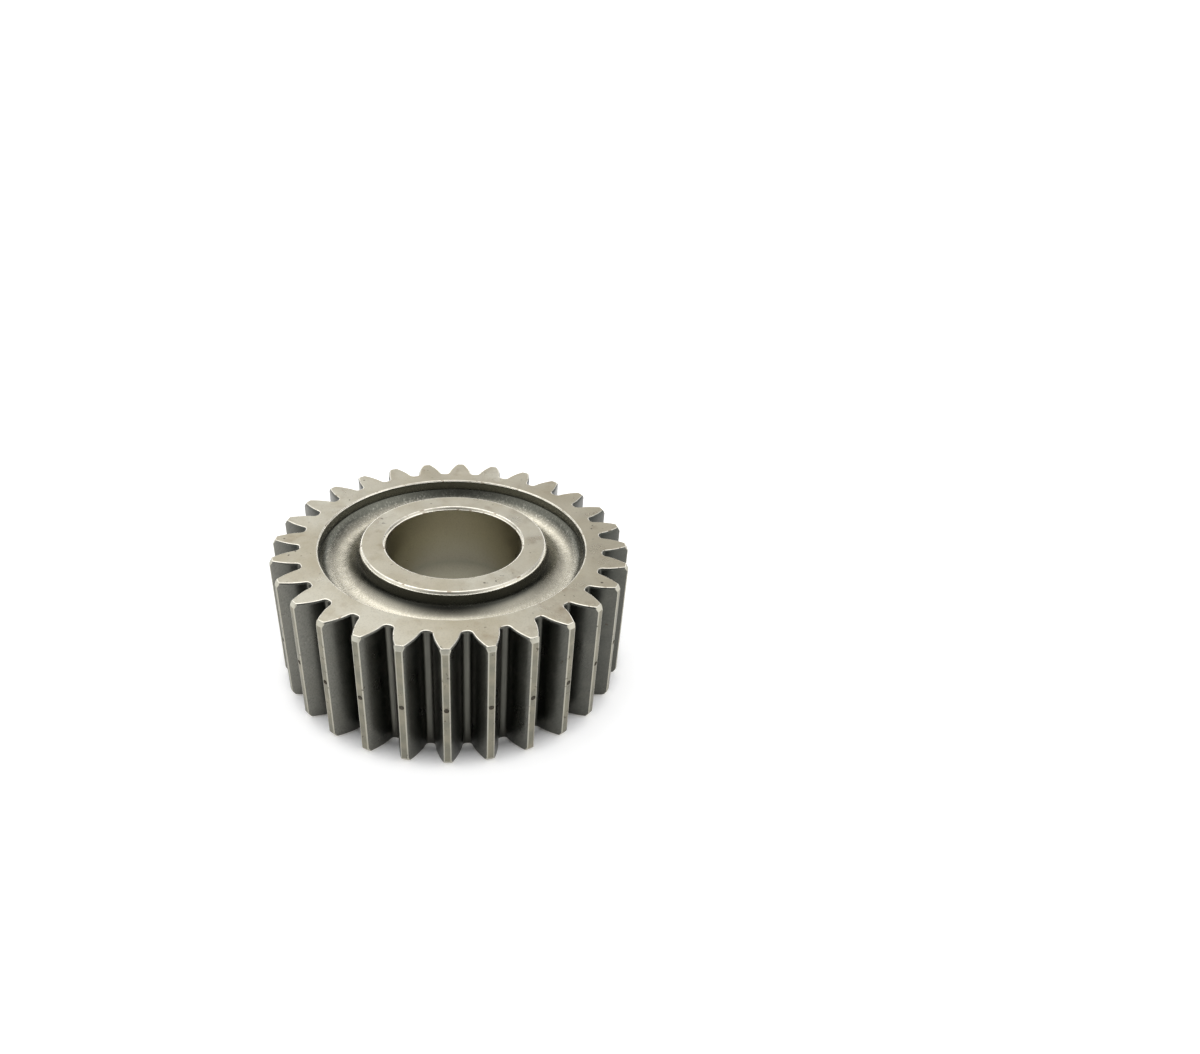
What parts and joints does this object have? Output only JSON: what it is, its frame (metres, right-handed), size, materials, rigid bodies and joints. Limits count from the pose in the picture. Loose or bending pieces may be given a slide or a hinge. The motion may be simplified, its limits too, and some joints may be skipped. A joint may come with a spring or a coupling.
{
  "type": "planet gear",
  "caption": "Steel spur gear with chamfered involute teeth, a ground through bore, a raised hub and an annular recess on each face.",
  "frame": {"origin": "on the bore axis, in the plane of the lower hub face on which the gear rests", "axes": "+Z along the bore axis, upwards; +X through the middle of one tooth"},
  "size_m": [0.15, 0.15, 0.058],
  "materials": {
    "steel": "turned and ground steel, faintly stained, with a rough forged floor in the recess"
  },
  "bodies": {
    "root": {"gear": "steel"}
  },
  "joints": []
}
